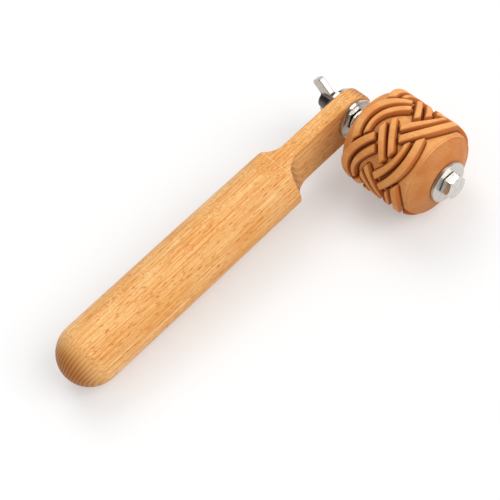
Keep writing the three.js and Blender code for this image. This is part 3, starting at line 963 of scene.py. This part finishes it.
def make_roller():
    end_x = ROLLER_X + ROLLER_LENGTH
    cone_x = ROLLER_X + CONE_LENGTH
    outline = rounded_outline([
        (ROLLER_X, ROLLER_BORE, 0.3), (ROLLER_X, SEAT_RADIUS, 0.4), (cone_x, GROUND_RADIUS, 1.2),
        (cone_x + RIM_WIDTH, RIM_RADIUS, 0.4), (cone_x + RIM_WIDTH + RIM_WALL, GROUND_RADIUS, 0.3),
        (end_x - CONE_LENGTH, GROUND_RADIUS, 1.4), (end_x, SEAT_RADIUS, 0.4), (end_x, ROLLER_BORE, 0.3),
    ])
    profile = spaced(outline, ROW_SPACING)
    inside = profile[:, 1] < ROLLER_BORE + 0.01
    profile = profile[~inside | (np.arange(len(profile)) % BORE_THINNING == 0)]
    turn = np.linspace(0, 2 * math.pi, ROLLER_COLUMNS, endpoint=False)
    angle = PLAIT_ANGLE + turn + PLAIT_DRIFT * np.sin(turn)
    x = np.repeat(profile[:, :1], ROLLER_COLUMNS, axis=1)
    radius = np.repeat(profile[:, 1:], ROLLER_COLUMNS, axis=1)
    carved = profile[:, 1] > GROUND_RADIUS - CARVED_FROM
    repeat = ROLLER_COLUMNS // BENDS
    band_x = x[carved, :repeat] - PLAIT_MIDDLE_X
    height = np.tile(relief_height(band_x, np.tile(turn[:repeat], (len(band_x), 1))), (1, BENDS))
    radius[carved] = np.maximum(radius[carved], GROUND_RADIUS - BURIED + height)
    radius[carved] = 0.5 * radius[carved] + 0.5 * blurred(radius[carved], 1)
    # The two masks for painted shade: how far a point lies below what is round it, and how steep it is.
    hollow_shade = np.zeros_like(radius)
    wall = np.zeros_like(radius)
    relief = PLAIT_RADIUS - GROUND_RADIUS
    after_cone = profile[:, 0] > cone_x + CONE_EDGE
    before_cone = profile[:, 0] < end_x - CONE_LENGTH - CONE_EDGE
    cut = carved & after_cone & before_cone
    below = (blurred(radius[carved], HOLLOW_REACH) - radius[carved]) / relief
    hollow_shade[cut] = np.clip(below, 0, 1)[cut[carved]]
    steps = [np.abs(np.roll(radius, 1, axis) - np.roll(radius, -1, axis)) for axis in (0, 1)]
    wall[cut] = np.clip(np.hypot(*steps)[cut] / STEEPEST, 0, 1)
    points = np.stack([x, radius * np.cos(angle), radius * np.sin(angle)], -1)
    faces = grid_faces(len(profile), ROLLER_COLUMNS, closed=True)
    return add_piece("plaited_roller", points, faces, "roller_body", "roller", carved_wood,
                     sharp_from=80, masks={"hollow_shade": hollow_shade, "wall": wall})


make_roller()

# %% [markdown]
# The washers are stamped, so their edges are rounded. Each is a small outline turned round the
# bolt's axis. The outer one has lost its shine, and the others have kept theirs.

# %% Washers
WASHER_RADIUS = 9.4
WASHER_THICKNESS = 1.6
WASHER_BORE = 3.25
WASHER_EDGE = 0.25
WASHER_BORE_EDGE = 0.3
WASHER_COLUMNS = 120
WASHER_SPACING = 0.8
WASHERS = {"outer_washer": 57.05, "roller_washer": 9.65, "tongue_washer": 4.25, "rear_washer": -5.85}
bodies = frame["record"]["behaviour"]["bodies"]
body_of_node = {node: body for body, nodes in bodies.items() for node in nodes}

for node, from_x in WASHERS.items():
    to_x = from_x + WASHER_THICKNESS
    outline = spaced(rounded_outline([
        (from_x, WASHER_BORE, WASHER_BORE_EDGE), (from_x, WASHER_RADIUS, WASHER_EDGE),
        (to_x, WASHER_RADIUS, WASHER_EDGE), (to_x, WASHER_BORE, WASHER_BORE_EDGE),
    ]), WASHER_SPACING)
    rings = rings_along_x(outline[:, 0], outline[:, 1], WASHER_COLUMNS)
    finish = satin_steel if node == "outer_washer" else bright_steel
    add_piece(node + "_ring", rings, grid_faces(len(outline), WASHER_COLUMNS, closed=True),
              body_of_node[node], node, finish)

# %% [markdown]
# The bolt's head and the thin nut are hexagons whose corners are cut back by a shallow cone. They
# are rings of points settled onto that shape with a small round on every edge. Below the head the
# bolt is plain, and towards its end the ring's radius follows a screw thread.

# %% Bolt and thin nut
ACROSS_FLATS = 10.0
HEX_ANGLE = math.radians(115)
HEX_EDGE = 0.12
CHAMFER_RADIUS = 4.95
HEX_COLUMNS = 144
HEAD_X = 58.95
HEAD_HEIGHT = 4.0
NUT_X = 6.15
NUT_HEIGHT = 3.2
NUT_BORE = 3.1
BOLT_RADIUS = 3.0
BOLT_END_X = -14.85
THREAD_PITCH = 1.0
THREAD_DEPTH = 0.45
THREAD_END_X = 10.15
THREAD_FADE = 1.5
THREAD_STEPS = 12
GROOVE_WIDTH = 1.35
GROOVE_SLOPE = 3.4
END_CHAMFER = 0.7
END_RINGS = (1.6, 0.9, 0.4, 0.0)
NUT_BORE_EDGE = 0.2
FACE_RINGS = 16
INNER_RINGS = 6
INNER_SHARE = 0.8
OUTER_SHARE = 0.83
SIDE_RINGS = 24
SHANK_FROM_RING = 5


def hexagon_distance(points, from_x, to_x, chamfers):
    """Distance from a hexagon along the bolt. Chamfers are -1 for the lower end and 1 for the upper."""
    x, y, z = points.T
    sides = None
    for side in range(6):
        angle = HEX_ANGLE + (side + 0.5) * math.pi / 3
        flat = y * math.cos(angle) + z * math.sin(angle) - ACROSS_FLATS / 2
        sides = flat if sides is None else shared(sides, flat, HEX_EDGE)
    body = shared(sides, np.abs(x - (from_x + to_x) / 2) - (to_x - from_x) / 2, HEX_EDGE)
    radius = np.hypot(y, z)
    for end in chamfers:
        face = to_x if end > 0 else from_x
        out = (radius - CHAMFER_RADIUS) * math.sin(math.pi / 6) + end * (x - face) * math.cos(math.pi / 6)
        body = shared(body, out, HEX_EDGE)
    return body


def hexagon_rings(from_x, to_x, inner_radius):
    """Rings over a hexagon's upper face, down its sides and over its lower face."""
    corner = ACROSS_FLATS / math.sqrt(3)
    angle = np.linspace(0, 2 * math.pi, HEX_COLUMNS, endpoint=False) - HEX_ANGLE
    edge = ACROSS_FLATS / 2 / np.cos((angle % (math.pi / 3)) - math.pi / 6)
    inner = np.linspace(inner_radius / corner, INNER_SHARE, INNER_RINGS)
    face_share = np.concatenate([inner, np.linspace(OUTER_SHARE, 1.0, FACE_RINGS - INNER_RINGS)])
    side_x = np.linspace(to_x, from_x, SIDE_RINGS + 2)[1:-1]
    rows_x = np.concatenate([np.full(FACE_RINGS, to_x), side_x, np.full(FACE_RINGS, from_x)])
    share = np.concatenate([face_share, np.ones(SIDE_RINGS), face_share[::-1]])
    return rings_along_x(rows_x[:, None], share[:, None] * edge[None, :], HEX_COLUMNS)


def make_bolt():
    top_x = HEAD_X + HEAD_HEIGHT
    head = hexagon_rings(HEAD_X, top_x, 0.0)
    flat = settle(head.reshape(-1, 3), lambda points: hexagon_distance(points, HEAD_X, top_x, (1,)))
    head = flat.reshape(head.shape)
    head[0, :, 1:] = 0
    head = head[:-SHANK_FROM_RING]
    x = np.concatenate([
        np.linspace(HEAD_X, THREAD_END_X, 24, endpoint=False),
        np.arange(THREAD_END_X, BOLT_END_X, -THREAD_PITCH / THREAD_STEPS), [BOLT_END_X],
    ])
    angle = np.linspace(0, 2 * math.pi, HEX_COLUMNS, endpoint=False)
    phase = (x[:, None] / THREAD_PITCH - angle[None, :] / (2 * math.pi)) % 1
    groove = np.clip(GROOVE_WIDTH - np.abs(phase - 0.5) * GROOVE_SLOPE, 0, 1)
    cut = np.clip((THREAD_END_X - x) / THREAD_FADE, 0, 1)[:, None]
    radius = BOLT_RADIUS - THREAD_DEPTH * groove * cut
    radius = np.minimum(radius, (BOLT_RADIUS - END_CHAMFER + (x - BOLT_END_X))[:, None])
    shank = rings_along_x(x[:, None], radius, HEX_COLUMNS)
    end_radius = np.array(END_RINGS)[:, None]
    end = rings_along_x(np.full_like(end_radius, BOLT_END_X), end_radius, HEX_COLUMNS)
    rings = np.concatenate([head, shank, end])
    return add_piece("hexagon_bolt", rings, grid_faces(len(rings), HEX_COLUMNS), "handle_body",
                     "hex_bolt", bright_steel, sharp_from=30)


def make_nut():
    to_x = NUT_X + NUT_HEIGHT
    rings = hexagon_rings(NUT_X, to_x, NUT_BORE)

    def nut_distance(points):
        bore = NUT_BORE - np.hypot(points[:, 1], points[:, 2])
        return shared(hexagon_distance(points, NUT_X, to_x, (-1, 1)), bore, NUT_BORE_EDGE)

    rings = settle(rings.reshape(-1, 3), nut_distance).reshape(rings.shape)
    return add_piece("thin_hexagon_nut", rings, grid_faces(len(rings), HEX_COLUMNS, closed=True),
                     "handle_body", "thin_nut", bright_steel, sharp_from=30)


make_bolt()
make_nut()

# %% [markdown]
# The wing nut is cast: a tapering boss with two wings that lean away from the handle, all of it
# softly rounded where one form runs into the next. The CAD solid has the sizes but sharp edges.
# Its mesh is copied and remeshed into small even faces, and those are settled onto the same shape
# with a fillet between boss and wings.

# %% Wing nut
WING_NUT_X = -6.15
BOSS_HEIGHT = 8.2
BOSS_BASE_RADIUS = 5.2
BOSS_NOSE_RADIUS = 4.1
BOSS_EDGE = 0.4
WING_HALF_THICKNESS = 1.3
WING_EDGE = 0.3
WING_FILLET = 0.9
WING_BORE = 3.2
WING_BORE_EDGE = 0.3
WING_FACE_SIZE = 0.24
RECESS_REACH = 0.6
RECESS_FADE = 0.8
NOSE_X = WING_NUT_X - BOSS_HEIGHT
WING_CORNERS = (
    (WING_NUT_X - 1.05, 7.3, 0.4), (WING_NUT_X - 7.3, 14.7, 1.2), (WING_NUT_X - 12.9, 9.6, 2.6),
    (NOSE_X + 1.7, 2.0, 0.0),
)
wing_outline = rounded_outline(
    list(WING_CORNERS) + [(x, -reach, cut) for x, reach, cut in WING_CORNERS[::-1]], steps=8
)


def wing_nut_distance(points):
    x, y, z = points.T
    radius = np.hypot(y, z)
    lean = (BOSS_BASE_RADIUS - BOSS_NOSE_RADIUS) / BOSS_HEIGHT
    cone = (radius - BOSS_BASE_RADIUS - lean * (x - WING_NUT_X)) / math.hypot(1, lean)
    ends = np.abs(x - (WING_NUT_X + NOSE_X) / 2) - BOSS_HEIGHT / 2
    boss = shared(cone, ends, BOSS_EDGE)
    from_outline = outline_distance(points[:, [0, 2]], wing_outline)
    wings = shared(from_outline, np.abs(y) - WING_HALF_THICKNESS, WING_EDGE)
    body = joined(boss, wings, WING_FILLET)
    body = shared(body, x - WING_NUT_X, BOSS_EDGE)
    return shared(body, WING_BORE - radius, WING_BORE_EDGE)


def make_wing_nut():
    source = bpy.data.objects.new("wing_nut_source", frame["nodes"]["wing_nut"].data.copy())
    scene.collection.objects.link(source)
    remesh = source.modifiers.new("even faces", "REMESH")
    remesh.mode = "VOXEL"
    remesh.voxel_size = WING_FACE_SIZE * MM
    even = with_modifiers(source)
    bpy.data.objects.remove(source)
    even.transform(tool.inverted())
    points = np.zeros(len(even.vertices) * 3)
    even.vertices.foreach_get("co", points)
    points = settle(points.reshape(-1, 3) / MM, wing_nut_distance, steps=4)
    faces = [list(polygon.vertices) for polygon in even.polygons]
    bpy.data.meshes.remove(even)
    mesh = bpy.data.meshes.new("cast_wing_nut")
    mesh.from_pydata((points * MM).tolist(), [], faces)
    # The recess round the boss, between the wings, is masked for painted shade and a duller finish.
    to_wings = BOSS_BASE_RADIUS + RECESS_REACH - np.hypot(points[:, 1], points[:, 2])
    off_base = points[:, 0] < WING_NUT_X - RECESS_REACH
    set_masks(mesh, {"shaded_recess": np.clip(to_wings / RECESS_FADE, 0, 1) * off_base})
    mesh.shade_smooth()
    print(f"{mesh.name}: {len(mesh.polygons)} faces")
    return place_piece(mesh, "wing_nut_body", "wing_nut", cast_steel)


make_wing_nut()

# %% Finish
looks_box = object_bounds()
growth = [round((looks_box[1][i] - cad_box[1][i]) / MM, 2) for i in range(3)]
print("the upper corner of the box differs by", growth, "mm")
